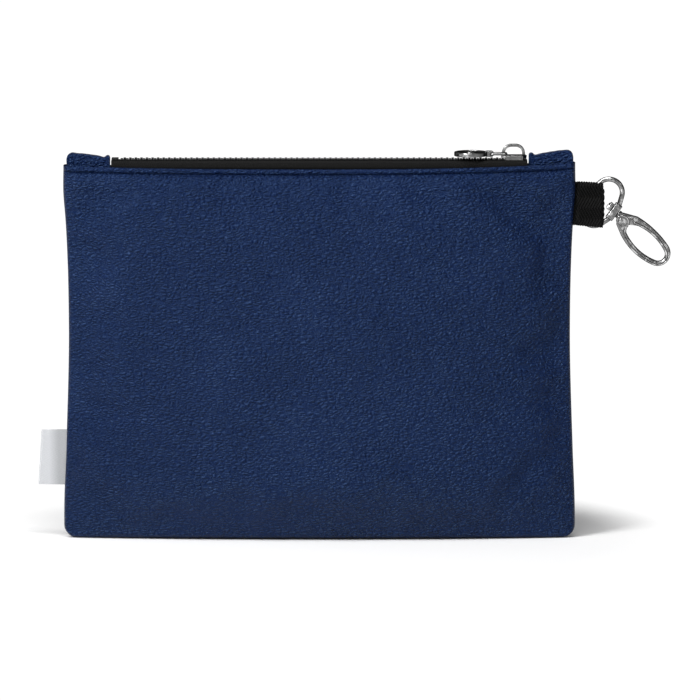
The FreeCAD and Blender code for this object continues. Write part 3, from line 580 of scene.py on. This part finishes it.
def soften(node, name, slot, voxel, passes, rough, seed, inset, rise):
    """A CAD solid remade as soft goods: edges rounded and the faces a little uneven."""
    source = frame["nodes"][node]
    piece = bpy.data.objects.new(name, source.data.copy())
    bpy.context.scene.collection.objects.link(piece)
    remesh = piece.modifiers.new("remesh", "REMESH")
    remesh.mode = "VOXEL"
    remesh.voxel_size = voxel * MM
    relax = piece.modifiers.new("relax", "SMOOTH")
    relax.iterations = passes
    graph = bpy.context.evaluated_depsgraph_get()
    mesh = bpy.data.meshes.new_from_object(piece.evaluated_get(graph))
    piece.modifiers.clear()
    piece.data = mesh
    points = np.zeros(len(mesh.vertices) * 3)
    normals = np.zeros(len(mesh.vertices) * 3)
    mesh.vertices.foreach_get("co", points)
    mesh.vertices.foreach_get("normal", normals)
    points, normals = points.reshape(-1, 3), normals.reshape(-1, 3)
    bumps = smooth_noise(points[:, [0, 2]] / MM, 3.4, seed) * rough * MM
    points = points + normals * bumps[:, None]
    outer = np.clip((np.abs(points[:, 0]) / MM - TAB_INNER) / TAB_LONG, 0, 1)
    upper = np.clip((points[:, 2] / MM - TAB_FOOT) / TAB_HIGH, 0, 1)
    points[:, 0] -= np.sign(points[:, 0]) * inset * MM * outer
    points[:, 2] += rise * MM * upper
    mesh.vertices.foreach_set("co", points.ravel())
    mesh.materials.clear()
    mesh.materials.append(LOOKS[slot])
    mesh.polygons.foreach_set("use_smooth", [True] * len(mesh.polygons))
    mesh.update()
    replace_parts(piece, node)
    return piece


for node, seed, inset, rise in (("left_end_tab", 50, 1.2, -0.9), ("right_end_tab", 51, 0.6, 0.3)):
    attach(soften(node, node.replace("end_tab", "folded_tab"), "navy_leather", 0.4, 9, 0.22,
                   seed, inset, rise), "pouch")


def zipper_tape(name, side, node):
    """A woven tape: flat beside the teeth, then turned down behind the leather edge."""
    columns = 240
    xs = np.linspace(-TAPE_HALF, TAPE_HALF, columns)
    reach = 4.2 + 1.1 * (1 - (xs / TAPE_HALF) ** 2)
    wave = smooth_noise(np.stack([xs, xs * 0], 1), 9, 70 + side) * 0.05
    outline = []
    for share, z in ((0.0, 171.57), (0.5, 171.58), (0.82, 171.57), (0.93, 171.45), (0.985, 171.1),
                     (1.0, 170.5), (1.0, 169.0), (0.995, 167.2)):
        outline.append((share, 0.0, z))
    for share, z in ((0.995, 167.2), (1.0, 169.0), (1.0, 170.4), (0.9, 171.0), (0.8, 171.03),
                     (0.5, 171.02), (0.0, 171.03)):
        outline.append((share, -0.55 if share > 0.85 else 0.0, z))
    verts = []
    for share, inset, z in outline:
        y = TAPE_NEAR + share * (reach - TAPE_NEAR) + inset
        verts.append(np.stack([xs, side * y, z + wave * (0.3 + share)], 1))
    tape = build(name, np.concatenate(verts), grid_faces(len(outline), columns, wrap_rows=True),
                 "zipper_cloth", flip=side < 0)
    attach(tape, "pouch")
    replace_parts(tape, node)


zipper_tape("front_woven_tape", -1, "front_zipper_tape")
zipper_tape("back_woven_tape", 1, "back_zipper_tape")


def ribbon(name, slot, path, low, high, thick, node, rib, curve, wobble=0.0):
    """A woven strip of a given height that follows a path seen from above, with fine ribs."""
    path = np.array(path, float)
    steps = np.concatenate([[0], np.cumsum(np.linalg.norm(np.diff(path, axis=0), axis=1))])
    along = np.arange(0, steps[-1], 0.22)
    line = np.stack([np.interp(along, steps, path[:, k]) for k in (0, 1)], 1)
    for _ in range(3):
        line[1:-1] = (line[:-2] + 2 * line[1:-1] + line[2:]) / 4
    ahead = np.gradient(line, axis=0)
    ahead /= np.linalg.norm(ahead, axis=1)[:, None]
    normal = np.stack([ahead[:, 1], -ahead[:, 0]], 1)
    rows = np.linspace(0, 1, int((high - low) / 0.22))
    verts = []
    for face in (1, -1):
        for row in rows:
            z = low + row * (high - low)
            rim = 1 - 0.45 * (np.abs(2 * row - 1) ** 12)
            turn = TWILL_STRIPE * (1 - abs((z / TWILL_STRIPE) % 2 - 1))
            weave = np.sin((line[:, 0] - TWILL_SLOPE * turn) * 2 * math.pi / WEBBING_RIB) * rib
            off = face * (thick / 2 * rim + weave * rim)
            edge = wobble * np.sin(along * 5.7) * (abs(2 * row - 1) ** 20) * np.sign(2 * row - 1)
            lift = curve(line[:, 0], row)
            verts.append(np.stack([line[:, 0] + normal[:, 0] * off, line[:, 1] + normal[:, 1] * off,
                                   z + edge + lift], 1))
    half = len(rows)
    verts = verts[:half] + verts[half:][::-1]
    columns = len(along)
    faces = grid_faces(2 * len(rows), columns, wrap_rows=True)
    count = 2 * len(rows)
    faces.append(tuple(i * columns for i in range(count)))
    faces.append(tuple(i * columns + columns - 1 for i in reversed(range(count))))
    strip = build(name, np.concatenate(verts), faces, slot, flip=True)
    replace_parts(strip, node)
    return strip


def webbing():
    """The loop: two layers that meet in a fold, sewn into the right-hand seam."""
    half = 1.9
    path = [(113.2, -0.75), (115.6, -0.8), (116.9, -half), (125.6, -half)]
    path += [(125.85 + half * math.cos(a), half * math.sin(a))
             for a in np.linspace(-math.pi / 2, math.pi / 2, 15)]
    path += [(125.6, half), (116.9, half), (115.6, 0.8), (113.2, 0.75)]

    def sag(x, row):
        return -1.1 * np.clip((x - 116) / 12, 0, 1) * (1 - row) ** 2 - 0.5 * np.clip(
            (x - 118) / 10, 0, 1) * row

    strip = ribbon("webbing_weave", "black_webbing", path, WEB_LOW, WEB_HIGH, 1.1, "webbing_loop",
                   0.13, sag, wobble=0.16)
    cutters = []
    for bottom, top in ((138.0, 145.6), (158.4, 166.0)):
        cutter = build("cutter", box_points((120.0, 131.0), (-1.3, 1.3), (bottom, top)), BOX_FACES,
                       "black_webbing")
        notch = strip.modifiers.new("notch", "BOOLEAN")
        notch.object = cutter
        cutters.append(cutter)
    graph = bpy.context.evaluated_depsgraph_get()
    cut = bpy.data.meshes.new_from_object(strip.evaluated_get(graph))
    strip.modifiers.clear()
    strip.data = cut
    for cutter in cutters:
        bpy.data.objects.remove(cutter)
    return strip


weave = webbing()
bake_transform(weave)


def side_label():
    """A folded satin ribbon, sewn into the left-hand seam."""
    path = [(-113.0, 0.42), (-116.0, 0.42), (-121.0, 0.5), (-125.0, 0.42)]
    path += [(-125.1 - 0.42 * math.sin(a), 0.42 * math.cos(a)) for a in np.linspace(0, math.pi, 9)]
    path += [(-125.0, -0.42), (-121.0, -0.34), (-116.0, -0.42), (-113.0, -0.42)]

    def lift(x, row):
        return 0.14 * np.clip((-116 - x) / 10, 0, 1) * (1 - 2 * row)

    strip = ribbon("folded_label", "satin_ribbon", path, LABEL_LOW, LABEL_HIGH, 0.3, "side_label",
                   0.01, lift)
    for vertex in strip.data.vertices:
        out = min(max((LABEL_SEAM * MM - vertex.co.x) / (LABEL_LONG * MM), 0), 1)
        down = (LABEL_HIGH * MM - vertex.co.z) / ((LABEL_HIGH - LABEL_LOW) * MM)
        vertex.co.x -= LABEL_LEAN * MM * out * down
    return strip


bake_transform(side_label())


# ---------------------------------------------------------------- floor, light and camera

def floor():
    """A pale floor that takes the shadow near the pouch and fades to white further out."""
    mat, nodes, links, surface = material("floor")
    surface.inputs["Base Color"].default_value = (0.93, 0.93, 0.93, 1)
    surface.inputs["Roughness"].default_value = 0.9
    surface.inputs["Specular IOR Level"].default_value = 0.1
    coords = nodes.new("ShaderNodeTexCoord")
    away = add(nodes, "ShaderNodeVectorMath", operation="LENGTH")
    links.new(coords.outputs["Object"], away.inputs[0])
    fade = add(nodes, "ShaderNodeMapRange", interpolation_type="SMOOTHSTEP")
    fade.inputs["From Min"].default_value = 0.125
    fade.inputs["From Max"].default_value = 0.17
    links.new(away.outputs["Value"], fade.inputs["Value"])
    rays = nodes.new("ShaderNodeLightPath")
    amount = add(nodes, "ShaderNodeMath", operation="MULTIPLY")
    links.new(fade.outputs[0], amount.inputs[0])
    links.new(rays.outputs["Is Camera Ray"], amount.inputs[1])
    white = add(nodes, "ShaderNodeEmission", Strength=1.05)
    mix = nodes.new("ShaderNodeMixShader")
    links.new(amount.outputs[0], mix.inputs["Fac"])
    links.new(surface.outputs[0], mix.inputs[1])
    links.new(white.outputs[0], mix.inputs[2])
    links.new(mix.outputs[0], nodes["Material Output"].inputs["Surface"])
    mesh = bpy.data.meshes.new("floor")
    mesh.from_pydata([(-6, -6, 0), (6, -6, 0), (6, 6, 0), (-6, 6, 0)], [], [(0, 1, 2, 3)])
    mesh.materials.append(mat)
    plane = bpy.data.objects.new("floor", mesh)
    plane.location = (0, 0, -0.0002)
    bpy.context.scene.collection.objects.link(plane)


def area_light(name, place, target, size, power):
    """A rectangular lamp that faces its target."""
    data = bpy.data.lights.new(name, "AREA")
    data.shape = "RECTANGLE"
    data.size, data.size_y = size
    data.energy = power
    lamp = bpy.data.objects.new(name, data)
    lamp.location = place
    lamp.rotation_euler = (Vector(target) - Vector(place)).to_track_quat("-Z", "Y").to_euler()
    bpy.context.scene.collection.objects.link(lamp)


floor()
area_light("key", (-0.8, -0.9, 1.0), (0, 0, 0.08), (0.45, 0.45), 17)
area_light("fill", (0.9, -1.2, 0.5), (0, 0, 0.08), (0.6, 0.9), 1.5)
area_light("top", (-0.15, -0.5, 1.25), (0, 0, 0.1), (0.9, 0.35), 9)


def studio_world():
    """White to the camera, dimmer as light, and striped like softboxes in reflections."""
    world = bpy.data.worlds.new("studio")
    world.use_nodes = True
    nodes, links = world.node_tree.nodes, world.node_tree.links
    back = nodes["Background"]
    coords = nodes.new("ShaderNodeTexCoord")
    split = nodes.new("ShaderNodeSeparateXYZ")
    links.new(coords.outputs["Generated"], split.inputs[0])
    aslant = add(nodes, "ShaderNodeMath", operation="MULTIPLY_ADD")
    aslant.inputs[1].default_value = 0.9
    links.new(split.outputs["Z"], aslant.inputs[0])
    links.new(split.outputs["X"], aslant.inputs[2])
    share = add(nodes, "ShaderNodeMapRange")
    share.inputs["From Min"].default_value = -1.0
    links.new(aslant.outputs[0], share.inputs["Value"])
    stripes = ramp(nodes, [(0.0, grey(0.5)), (0.2, grey(0.04)), (0.34, grey(0.03)),
                           (0.42, grey(1.3)), (0.5, grey(0.9)), (0.58, grey(0.04)),
                           (0.75, grey(0.03)), (0.88, grey(0.9)), (1.0, grey(0.1))])
    links.new(share.outputs[0], stripes.inputs["Fac"])
    rays = nodes.new("ShaderNodeLightPath")
    shine = add(nodes, "ShaderNodeMix", data_type="RGBA")
    shine.inputs["A"].default_value = (0.26, 0.26, 0.26, 1)
    links.new(rays.outputs["Is Glossy Ray"], shine.inputs["Factor"])
    links.new(stripes.outputs["Color"], shine.inputs["B"])
    seen = add(nodes, "ShaderNodeMix", data_type="RGBA")
    seen.inputs["B"].default_value = (1, 1, 1, 1)
    links.new(rays.outputs["Is Camera Ray"], seen.inputs["Factor"])
    links.new(shine.outputs["Result"], seen.inputs["A"])
    links.new(seen.outputs["Result"], back.inputs["Color"])
    return world


scene = bpy.context.scene
scene.world = studio_world()
scene.view_settings.view_transform = "Standard"

camera_data = bpy.data.cameras.new("camera")
camera_data.lens = LENS
camera_data.sensor_width = SENSOR
camera_data.clip_end = 20
camera = bpy.data.objects.new("camera", camera_data)
elevation = math.radians(8)
aim = Vector((0.0138, 0.0, 0.0853))
distance = 0.3158 * LENS / SENSOR
camera.location = aim + distance * Vector((0, -math.cos(elevation), math.sin(elevation)))
camera.rotation_euler = (math.pi / 2 - elevation, 0, 0)
scene.collection.objects.link(camera)
scene.camera = camera
